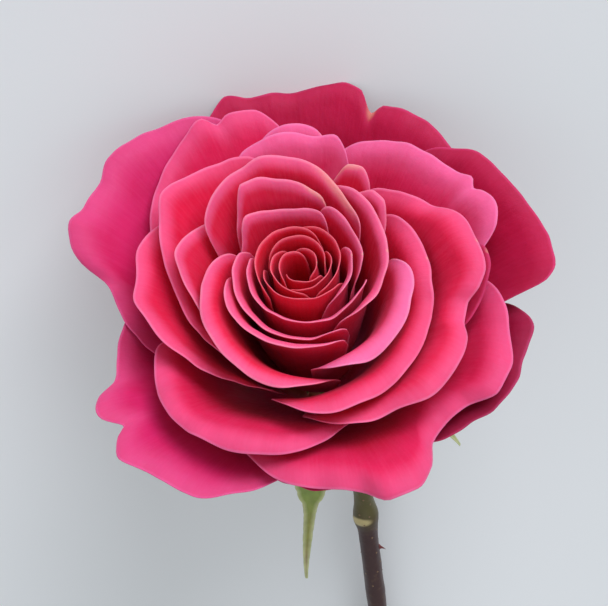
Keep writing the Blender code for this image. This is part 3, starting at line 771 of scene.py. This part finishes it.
@dataclass
class Calyx:
    """The five leafy sepals under the head. Lengths are in metres."""

    length: float = 42.0 * MM
    width: float = 8.6 * MM
    wall: float = 0.55 * MM
    start_radius: float = 8.05 * MM
    start_height: float = -1.5 * MM
    rows: int = 110
    columns: int = 15
    sepals: tuple[Sepal, ...] = (
        Sepal("sepal_1", -99.0, (5.0, 53.0, 63.0), 1.18, 2.4),
        Sepal("sepal_2", -26.0, (5.0, 42.0, 66.0), 0.92),
        Sepal("sepal_3", 46.0, (0.0, -14.0, -8.0), 0.86),
        Sepal("sepal_4", 118.0, (0.0, -12.0, -4.0), 0.84),
        Sepal("sepal_5", 190.0, (5.0, 38.0, 60.0), 0.95),
    )
    stations: tuple[float, ...] = (0.0, 0.12, 0.28, 0.42, 0.50, 0.58, 0.80, 1.0)
    widths: tuple[float, ...] = (0.80, 1.0, 1.0, 0.94, 0.70, 0.34, 0.20, 0.05)

    def blade(self, sepal: Sepal, seed: int) -> Shell:
        """Build a sepal: a long pointed blade, folded along its midrib, with a toothed edge.

        Args:
            sepal: its place and hang.
            seed: sets the teeth of its edge.

        Returns:
            The closed shell.
        """
        dice = np.random.default_rng(seed)
        share = np.linspace(0.0, 1.0, self.rows)
        length = self.length * sepal.size
        fall = np.radians(np.interp(share, (0.0, 0.5, 1.0), sepal.falls))
        step = length / (self.rows - 1)
        middle_fall = 0.5 * (fall[1:] + fall[:-1])
        radius = self.start_radius + np.concatenate([[0.0], np.cumsum(step * np.cos(middle_fall))])
        height = self.start_height - np.concatenate([[0.0], np.cumsum(step * np.sin(middle_fall))])
        width = cubic_through(np.array(self.stations), np.array(self.widths), share)
        teeth = 1.0 + 0.07 * PetalMaker.wander(dice, share * length / MM, (1.9, 2.7, 4.1))
        half = 0.5 * self.width * width * teeth
        turn = math.radians(sepal.azimuth)
        out = np.array([math.cos(turn), math.sin(turn), 0.0])
        side = np.array([-math.sin(turn), math.cos(turn), 0.0])
        up = np.array([0.0, 0.0, 1.0])
        normal = np.cos(fall)[:, None] * up + np.sin(fall)[:, None] * out
        swing = sepal.swing * MM * smooth_step((share - 0.35) / 0.65)
        centre = radius[:, None] * out + height[:, None] * up - swing[:, None] * side
        across = np.linspace(1.0, -1.0, self.columns)
        lift = 0.22 * np.abs(across) ** 1.3
        middle = (centre[None] + across[:, None, None] * half[None, :, None] * side
                  + lift[:, None, None] * half[None, :, None] * normal[None])
        edge_mm = (1.0 - np.abs(across))[:, None] * half[None, :] / MM
        tip_mm = (1.0 - share)[None, :] * length / MM
        values = {
            "along_mm": np.repeat(share[None, :] * length / MM, self.columns, axis=0),
            "rim_mm": np.minimum(edge_mm, np.repeat(tip_mm, self.columns, axis=0)),
        }
        wall = np.full((self.columns, self.rows), self.wall) * (1.0 - 0.5 * share)[None, :]
        return thicken(middle, wall, values)


# ------------------------------------------------------------------ stem

@dataclass
class Stem:
    """Hip and stem swept along one bent path, with prickles. Lengths are in metres."""

    length: float = 150.0 * MM
    radius: float = 2.5 * MM
    foot_growth: float = 0.3 * MM
    hip_length: float = 15.0 * MM
    neck_length: float = 70.0 * MM
    neck_bend: float = 24.0
    bow: float = 1.3
    sway: float = 20.0
    sway_length: float = 38.0 * MM
    node_swell: float = 0.9 * MM
    node_half: float = 3.5 * MM
    nodes: tuple[float, ...] = (60.0 * MM, 124.0 * MM)
    prickle_length: float = 4.2 * MM
    prickle_foot: float = 2.6 * MM
    prickles: tuple[tuple[float, float, float], ...] = (
        (72.0 * MM, 8.0, 0.45), (101.0 * MM, 150.0, 0.9), (111.0 * MM, 5.0, 1.0),
        (137.0 * MM, 80.0, 1.0))
    prickle_flatness: float = 0.42
    prickle_hook: float = 0.95
    lenticel: float = 0.28 * MM
    lenticel_gap: float = 2.4 * MM
    bark_relief: float = 0.28 * MM
    scar_flanks: tuple[tuple[float, float, float], ...] = (
        (-0.6, -0.73, 0.33), (0.6, -0.73, 0.33))
    sides: int = 40
    hip_outline: tuple[tuple[float, float], ...] = (
        (0.3, 5.0), (2.7, 3.3), (5.5, 1.6), (7.2, 0.5), (7.7, -0.1), (7.6, -0.9), (6.5, -1.9),
        (5.7, -2.9), (6.1, -4.1), (6.6, -5.6), (6.6, -7.2), (5.9, -9.4), (4.6, -11.6), (3.4, -13.4))

    def path(self) -> list[tuple[float, Vector, Vector]]:
        """Distance below the hip, point and direction, every 1.5 mm along the centre line."""
        count = round(self.length / (1.5 * MM))
        step = self.length / count
        point = Vector((0.0, 0.0, -self.hip_length))
        places = []
        for index in range(count + 1):
            along = index * step
            bend = self.neck_bend * float(smooth_step(along / self.neck_length))
            bend = math.radians(bend + self.bow * along / self.length)
            sway = math.radians(self.sway * math.sin(math.pi * min(along / self.sway_length, 1.0)))
            direction = Vector((math.sin(sway), -math.sin(bend) * math.cos(sway),
                                -math.cos(bend) * math.cos(sway)))
            places.append((along, point.copy(), direction))
            point = point + direction * step
        return places

    def thickness(self, along: float) -> float:
        """The stem's radius: a little thicker towards the cut end, swollen at the leaf scars."""
        radius = self.radius + self.foot_growth * along / self.length
        for place in self.nodes:
            radius += self.node_swell * math.exp(-((along - place) / self.node_half) ** 2)
        return radius

    def scars(self, place: Matrix) -> list[Vector]:
        """The middle of each leaf scar, alternately on one flank of the stem and on the other.

        Args:
            place: from the head's frame to the row's.

        Returns:
            The points, in the row's frame.
        """
        points = []
        for node, flank in zip(self.nodes, self.scar_flanks):
            along, centre, _ = min(self.path(), key=lambda item: abs(item[0] - node))
            points.append(place @ (centre + Vector(flank) * self.thickness(along)))
        return points

    def skeleton(self) -> bpy.types.Mesh:
        """The centre line as a chain of edges, and one loose point at the foot of each prickle."""
        points, radii, alongs = [], [], []
        hip = np.array(self.hip_outline)
        arc = np.concatenate([[0.0], np.cumsum(np.hypot(*np.diff(hip, axis=0).T))])
        fine = np.linspace(0.0, arc[-1], 40)
        for radius, height in zip(cubic_through(arc, hip[:, 0], fine),
                                  cubic_through(arc, hip[:, 1], fine)):
            points.append(Vector((0.0, 0.0, float(height) * MM)))
            radii.append(float(radius) * MM)
            alongs.append(float(height) - self.hip_length / MM - 6.0)
        path = self.path()
        for along, point, _ in path[1:]:
            points.append(point)
            radii.append(self.thickness(along))
            alongs.append(along / MM)
        chain = len(points)
        kinds = [0.0] * chain
        outs = [Vector((0.0, 0.0, 1.0))] * chain
        downs = list(outs)
        for place, turn, size in self.prickles:
            along, centre, direction = min(path, key=lambda item: abs(item[0] - place))
            across = direction.cross(Vector((1.0, 0.0, 0.0))).normalized()
            side = across.cross(direction)
            angle = math.radians(turn)
            out = side * math.cos(angle) + across * math.sin(angle)
            points.append(centre + out * (self.thickness(along) - 0.2 * MM))
            radii.append(size)
            alongs.append(along / MM)
            outs.append(out)
            downs.append(direction)
            kinds.append(1.0)
        mesh = bpy.data.meshes.new("stem_path")
        mesh.from_pydata(points, [(index, index + 1) for index in range(chain - 1)], [])
        for name, values in (("girth", radii), ("along_mm", alongs), ("is_prickle", kinds)):
            mesh.attributes.new(name, "FLOAT", "POINT").data.foreach_set("value", values)
        for name, vectors in (("out", outs), ("down", downs)):
            layer = mesh.attributes.new(name, "FLOAT_VECTOR", "POINT")
            layer.data.foreach_set("vector", [part for vector in vectors for part in vector])
        return mesh

    def tree(self) -> bpy.types.NodeTree:
        """A stem swept along its path, hooked prickles at the loose points, pale lenticels."""
        tree = bpy.data.node_groups.new("swept_stem", "GeometryNodeTree")
        face = tree.interface
        face.new_socket("Geometry", in_out="OUTPUT", socket_type="NodeSocketGeometry")
        for name, kind in (("Geometry", "Geometry"), ("Sides", "Int"), ("Prickle Length", "Float"),
                           ("Prickle Foot", "Float"), ("Lenticel", "Float"), ("Seed", "Int"),
                           ("Skin", "Material")):
            face.new_socket(name, in_out="INPUT", socket_type=f"NodeSocket{kind}")
        given = tree.nodes.new("NodeGroupInput").outputs

        wiring = Wiring(tree)

        def node(kind: str, inputs: dict | None = None,
                 settings: dict | None = None) -> bpy.types.NodeSocket:
            """The outputs of a geometry node."""
            return add_node(tree, f"GeometryNode{kind}", settings, inputs).outputs

        def named(name: str, kind: str = "FLOAT") -> bpy.types.NodeSocket:
            """One of the skeleton's point attributes."""
            return node("InputNamedAttribute", {"Name": name}, {"data_type": kind})[0]

        def marked(geometry: bpy.types.NodeSocket, name: str) -> bpy.types.NodeSocket:
            """The geometry with a point attribute of 1, which the skin reads."""
            return node("StoreNamedAttribute", {0: geometry, "Name": name, "Value": 1.0},
                        {"data_type": "FLOAT", "domain": "POINT"})[0]

        def strewn(points: dict) -> bpy.types.NodeSocket:
            """Real copies of a shape at points."""
            return node("RealizeInstances", {0: node("InstanceOnPoints", points)[0]})[0]

        parts = node("SeparateGeometry", {0: given["Geometry"], 1: named("is_prickle")})
        line = node("MeshToCurve", {0: parts["Inverted"]})[0]
        ring = node("CurvePrimitiveCircle", {"Resolution": given["Sides"], "Radius": 1.0})[0]
        swept = node("CurveToMesh", {0: line, 1: ring, 2: named("girth"), 3: True})[0]
        place = node("InputPosition")[0]
        lift = wiring.remap(wiring.noise(place, 230.0), 0.0, 1.0, -self.bark_relief,
                            self.bark_relief, "LINEAR")
        rough = wiring.vector("SCALE", node("InputNormal")[0], lift)
        skin = node("SetPosition", {0: swept, "Offset": rough})[0]
        spike = node("MeshCone", {"Vertices": 14, "Side Segments": 9, "Radius Top": 0.015,
                                  "Radius Bottom": 1.0, "Depth": 1.0})[0]
        split = add_node(tree, "ShaderNodeSeparateXYZ", None, {0: place}).outputs
        flare = wiring.remap(split[2], 0.0, 0.45, 1.0, 0.55, "SMOOTHERSTEP")
        hooked = wiring.math("MULTIPLY_ADD", wiring.math("POWER", split[2], 1.6), self.prickle_hook,
                             wiring.math("MULTIPLY", split[0], flare))
        bent = wiring.join(hooked, wiring.math("MULTIPLY", split[1], self.prickle_flatness),
                           split[2])
        hook = node("SetPosition", {0: spike, "Position": bent})[0]
        aim = add_node(tree, "FunctionNodeAxesToRotation",
                       {"primary_axis": "Z", "secondary_axis": "X"},
                       {0: named("out", "FLOAT_VECTOR"), 1: named("down", "FLOAT_VECTOR")})
        full = wiring.join(given["Prickle Foot"], given["Prickle Foot"], given["Prickle Length"])
        prickles = strewn({
            "Points": node("MeshToPoints", {0: parts["Selection"]})[0], "Instance": hook,
            "Rotation": aim.outputs[0], "Scale": wiring.vector("SCALE", full, named("girth"))})
        dots = node("DistributePointsOnFaces", {
            "Mesh": skin, "Selection": wiring.math("GREATER_THAN", named("along_mm"), 6.0),
            "Distance Min": self.lenticel_gap, "Density Max": 60000.0, "Seed": given["Seed"]},
            {"distribute_method": "POISSON"})
        beads = strewn({
            "Points": dots[0], "Instance": node("MeshUVSphere", {"Segments": 8, "Rings": 4})[0],
            "Rotation": dots[2],
            "Scale": wiring.join(given["Lenticel"], given["Lenticel"], 0.12 * MM)})
        joined = add_node(tree, "GeometryNodeJoinGeometry")
        for part in (marked(beads, "is_lenticel"), marked(prickles, "is_prickle"), skin):
            tree.links.new(part, joined.inputs[0])
        whole = node("RealizeInstances", {0: joined.outputs[0]})[0]
        smooth = node("SetShadeSmooth", {0: whole})[0]
        dressed = node("SetMaterial", {0: smooth, "Material": given["Skin"]})[0]
        add_node(tree, "NodeGroupOutput", None, {0: dressed})
        return tree

    def build(self, place: Matrix, material: bpy.types.Material) -> bpy.types.Object:
        """Sweep the stem and hand it to the frame.

        Args:
            place: from the head's frame to the row's.
            material: the skin of the stem.

        Returns:
            The stem, a plain mesh at the origin.
        """
        carrier = bpy.data.objects.new("stem_carrier", self.skeleton())
        bpy.context.scene.collection.objects.link(carrier)
        modifier = carrier.modifiers.new("sweep", "NODES")
        modifier.node_group = self.tree()
        sizes = {"Sides": self.sides, "Prickle Length": self.prickle_length,
                 "Prickle Foot": self.prickle_foot, "Lenticel": self.lenticel, "Seed": 4,
                 "Skin": material}
        for item in modifier.node_group.interface.items_tree:
            if item.in_out == "INPUT" and item.name in sizes:
                modifier[item.identifier] = sizes[item.name]
        graph = bpy.context.evaluated_depsgraph_get()
        mesh = bpy.data.meshes.new_from_object(carrier.evaluated_get(graph))
        bpy.data.objects.remove(carrier)
        mesh.transform(place)
        count = len(mesh.vertices)
        points = np.zeros(count * 3)
        mesh.vertices.foreach_get("co", points)
        points = points.reshape(-1, 3)
        points[:, 2] = np.maximum(points[:, 2], REST_CLEARANCE)
        mesh.vertices.foreach_set("co", points.reshape(-1))
        mesh.name = "stem"
        return finish_piece(mesh, "stem")


@dataclass(frozen=True)
class StemFinish:
    """Rose stem bark, waxy and freckled: a weak broad shine, olive above and purple-brown lower
    down, with cream scars where leaves have come off."""

    name: str = "rose stem bark"
    young: str = "6E7440"
    olive: str = "565028"
    old: str = "3E2626"
    scar: str = "CDBE86"
    prickle: str = "6E3230"
    lenticel: str = "7A6248"

    def build(self, scars: list[Vector]) -> bpy.types.Material:
        """Build the material's nodes.

        Args:
            scars: the middle of each leaf scar, on the bark, in the row's frame.

        Returns:
            The bark, with an oval cream patch at each scar.
        """
        material, wiring = new_material(self.name)
        place = add_node(wiring.tree, "ShaderNodeTexCoord").outputs["Object"]
        fine = wiring.noise(place, 650.0, 3.0)
        age = wiring.math("MULTIPLY_ADD", wiring.noise(place, 110.0), 8.0,
                          wiring.value("along_mm"))
        colour = wiring.mix(wiring.remap(age, 5.0, 60.0), linear(self.young), linear(self.olive))
        colour = wiring.mix(wiring.remap(age, 60.0, 70.0), colour, linear(self.old))
        for scar in scars:
            oval = wiring.vector("MULTIPLY", wiring.vector("SUBTRACT", place, scar),
                                 (1.0, 2.4, 1.0))
            patch = wiring.remap(wiring.vector("LENGTH", oval), 2.2 * MM, 4.2 * MM, 0.85, 0.0)
            colour = wiring.mix(patch, colour, linear(self.scar))
        speckle = wiring.remap(fine, 0.55, 0.75, 0.0, 0.22, "LINEAR")
        colour = wiring.mix(speckle, colour, linear(self.lenticel))
        colour = wiring.mix(wiring.value("is_lenticel"), colour, linear(self.lenticel))
        colour = wiring.mix(wiring.value("is_prickle"), colour, linear(self.prickle))
        wiring.skin(colour, fine, 0.4, 0.2 * MM, {"Roughness": 0.40})
        return material


# ------------------------------------------------------------------ the whole rose

@dataclass
class Pose:
    """How the rose lies: its face looks towards -Y and up, its stem runs towards +Y."""

    elevation: float = 28.0
    roll: float = 0.26

    def turn(self) -> Matrix:
        """The head's axes in the row's frame."""
        lean = math.radians(self.elevation)
        columns = (Vector((-1.0, 0.0, 0.0)), Vector((0.0, -math.sin(lean), -math.cos(lean))),
                   Vector((0.0, -math.cos(lean), math.sin(lean))))
        turn = Matrix(columns).transposed().to_4x4()
        return Matrix.Rotation(math.radians(self.roll), 4, "Y") @ turn

    def place(self, maker: PetalMaker, petals: tuple[Petal, ...]) -> Matrix:
        """Find where the head's origin lies, from the boxes of the frame's petals.

        Args:
            maker: lays a petal on its bowls.
            petals: petals that the frame has, under the same names.

        Returns:
            The matrix from the head's frame to the row's.
        """
        turn = self.turn()
        shift = Vector((0.0, 0.0, 0.0))
        for petal in petals:
            points = maker.plain(petal) @ np.array(turn.to_3x3()).T
            low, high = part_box(petal.name)
            centre = 0.5 * (points.min(axis=0) + points.max(axis=0))
            shift += (0.5 * (low + high) - Vector(centre)) / len(petals)
        return Matrix.Translation(shift) @ turn


@dataclass
class Rose:
    """The whole rose: its petals, calyx, hip and stem."""

    bowls: Bowls = field(default_factory=Bowls)
    pose: Pose = field(default_factory=Pose)
    calyx: Calyx = field(default_factory=Calyx)
    stem: Stem = field(default_factory=Stem)
    special: dict[str, tuple[str, ...]] = field(default_factory=lambda: {
        # Darker copies of the finish: painted shade on petals lying in the flower's own shade, partly
        # also the deeper red of older outer petals.
        "shaded": ("guard_petal_top", "guard_petal_right", "guard_petal_bottom",
                   "skirt_petal_right"),
        "dusk": ("guard_petal_lower_right",),
        # Copies with a wider, stronger pale band: painted highlight on rims that face the light.
        "bright": ("skirt_petal_upper_right", "cup_petal_top", "cup_petal_back"),
        "rolled": ("heart_petal_lower_right",)})

    def dress(self) -> Matrix:
        """Build every piece.

        Returns:
            The matrix from the head's frame to the row's.
        """
        maker = PetalMaker(self.bowls)
        buds = bud_petals()
        place = self.pose.place(maker, PETALS + buds)
        smooth = Surface(wave=1.4, waves=(31.0, 45.0, 67.0), ripple=0.35)
        surfaces = {
            "guard": smooth, "skirt": Surface(wave=0.8, ripple=0.3),
            "cup": Surface(wave=0.5, ripple=0.25), "heart": Surface(wave=0.3, rim_wall=0.25),
            "bud": Surface(wave=0.15, ripple=0.1, fray=0.1, rows=48)}
        finishes = {
            "guard": PetalFinish("guard rose petal", "CE2464", "C82058", "EA70A8", "B4103C",
                                 shade_start_mm=12.0, painted_sheen_mm=10.0, painted_sheen_share=0.22),
            # Darker copy: painted shade for petals in the flower's shade, partly the deeper red of outer
            # petals.
            "shaded": PetalFinish("deep red guard rose petal", "B41440", "A81440", "DA4A84",
                                  "8C0A24", shade_start_mm=8.0, painted_sheen_share=0.05),
            "skirt": PetalFinish("outer rose petal", "E02458", "DC2E6C", "F086B6", "B80C2C",
                                 shade_start_mm=7.0, painted_sheen_mm=8.0, painted_sheen_share=0.28),
            # Lighter copy with a wider, stronger pale band: painted highlight on rims that face the
            # light.
            "bright": PetalFinish("pale rimmed rose petal", "E62A60", "E63470", "F08EBE",
                                  "BC0A28", shade_start_mm=7.0, painted_sheen_mm=10.0, painted_sheen_share=0.5),
            # Darkest copy: painted shade for the petal deepest in shade.
            "dusk": PetalFinish("darkest guard rose petal", "961036", "8E1238", "C24878",
                                "74081E", shade_start_mm=8.0, painted_sheen_share=0.05),
            "cup": PetalFinish("middle rose petal", "E82450", "E63062", "F48EB8", "BC0A24",
                               shade_start_mm=6.0, painted_sheen_mm=6.0, painted_sheen_share=0.32),
            "heart": PetalFinish("inner rose petal", "E6264E", "E63260", "F69AB4", "C8081E",
                                 shade_start_mm=5.0, painted_sheen_mm=4.0, painted_sheen_share=0.42),
            # Copy with the strongest pale band: painted highlight on the rolled rim that faces the
            # light.
            "rolled": PetalFinish("rolled inner rose petal", "EC2A58", "EA2E58", "F4A0C6",
                                  "C00A1E", shade_start_mm=5.0, painted_sheen_mm=7.0, painted_sheen_share=0.65),
            "bud": PetalFinish("bud rose petal", "E41C36", "E62442", "F08A96", "B0061A",
                               shade_start_mm=3.0, painted_sheen_mm=1.5, painted_sheen_share=0.12)}
        materials = {group: finish.build() for group, finish in finishes.items()}
        special = {name: group for group, names in self.special.items() for name in names}
        for seed, petal in enumerate(PETALS + buds, start=1):
            ring = petal.name.split("_")[0]
            shell = maker.build(petal, surfaces[ring], seed)
            material = materials[special.get(petal.name, ring)]
            make_piece(petal.name, shell, place, material)
        green = GreenFinish("rose sepal leaf", (
            (0.0, "6C8644"), (0.35, "7A984E"), (0.62, "90A850"), (0.84, "9A9C50"),
            (1.0, "8A6A40")), 50.0, "CFD6A0", "9CB07A").build()
        for seed, sepal in enumerate(self.calyx.sepals, start=60):
            make_piece(sepal.name, self.calyx.blade(sepal, seed), place, green)
        self.stem.build(place, StemFinish().build(self.stem.scars(place)))
        return place


# ------------------------------------------------------------------ studio

@dataclass
class Studio:
    """A pale floor, a large soft key light from the upper right, weak fill and the camera."""

    floor_side: float = 4.0
    floor_colour: str = "ECF1F2"
    ambient: float = 0.44
    key: float = 2.45
    fill: float = 0.6
    key_from: tuple[float, float, float] = (-0.34, -0.86, 0.30)
    key_spread: float = 40.0
    fill_from: tuple[float, float, float] = (0.0, -0.25, 1.0)
    fill_spread: float = 100.0
    tilt: float = 30.0
    lean: float = 8.0
    aim_height: float = 44.0 * MM
    distance: float = 420.0 * MM
    shift: tuple[float, float] = (0.9 * MM, -8.1 * MM)
    lens: float = 113.0

    def floor(self) -> None:
        """A large pale matt floor."""
        half = 0.5 * self.floor_side
        mesh = bpy.data.meshes.new("floor")
        mesh.from_pydata([(-half, -half, 0), (half, -half, 0), (half, half, 0), (-half, half, 0)],
                         [], [(0, 1, 2, 3)])
        material, wiring = new_material("matt paper")
        place = add_node(wiring.tree, "ShaderNodeTexCoord").outputs["Object"]
        wiring.skin(linear(self.floor_colour), wiring.noise(place, 900.0), 0.05, 0.1 * MM,
                    {"Roughness": 0.9})
        mesh.materials.append(material)
        floor = bpy.data.objects.new("floor", mesh)
        bpy.context.scene.collection.objects.link(floor)

    @staticmethod
    def lamp(name: str, direction: Vector, strength: float, softness: float,
             colour: str) -> None:
        """Add a soft distant light.

        Args:
            name: the light's name.
            direction: from the rose towards the light.
            strength: how strong it is.
            softness: how wide it looks from the rose, in degrees.
            colour: sRGB hex.
        """
        light = bpy.data.lights.new(name, "SUN")
        light.energy = strength
        light.angle = math.radians(softness)
        light.color = linear(colour)[:3]
        thing = bpy.data.objects.new(name, light)
        thing.rotation_euler = direction.to_track_quat("Z", "Y").to_euler()
        bpy.context.scene.collection.objects.link(thing)

    def camera(self, place: Matrix) -> None:
        """Look into the open face from 30 degrees off its axis, as if the rose were held up.

        Args:
            place: from the head's frame to the row's.
        """
        tilt, lean = math.radians(self.tilt), math.radians(self.lean)
        view = Vector((0.0, -math.sin(tilt), math.cos(tilt)))
        level_up = Vector((0.0, math.cos(tilt), math.sin(tilt)))
        across = Vector((1.0, 0.0, 0.0))
        right = across * math.cos(lean) - level_up * math.sin(lean)
        above = across * math.sin(lean) + level_up * math.cos(lean)
        spot = Vector((0.0, 0.0, self.aim_height)) + view * self.distance
        spot += right * self.shift[0] + above * self.shift[1]
        turn = place.to_3x3()
        axes = Matrix((turn @ right, turn @ above, turn @ view)).transposed().to_4x4()
        data = bpy.data.cameras.new("camera")
        data.lens = self.lens
        data.sensor_width = 36.0
        data.clip_start = 0.01
        camera = bpy.data.objects.new("camera", data)
        camera.matrix_world = Matrix.Translation(place @ spot) @ axes
        bpy.context.scene.collection.objects.link(camera)
        bpy.context.scene.camera = camera

    def light(self) -> None:
        """A pale surrounding and two large soft lamps."""
        world = bpy.data.worlds.new("studio")
        world.use_nodes = True
        background = world.node_tree.nodes["Background"]
        background.inputs["Color"].default_value = linear("F4F6F8")
        background.inputs["Strength"].default_value = self.ambient
        bpy.context.scene.world = world
        self.lamp("key", Vector(self.key_from), self.key, self.key_spread, "FAF8FF")
        self.lamp("fill", Vector(self.fill_from), self.fill, self.fill_spread, "F2F6FF")

    def build(self, place: Matrix) -> None:
        """Set up floor, light and camera."""
        self.floor()
        self.light()
        self.camera(place)
        bpy.context.scene.view_settings.view_transform = "Standard"


def main() -> None:
    """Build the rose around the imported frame, then the studio."""
    logging.basicConfig(level=logging.INFO, format="%(message)s")
    place = Rose().dress()
    Studio().build(place)


if __name__ == "__main__":
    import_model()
    main()
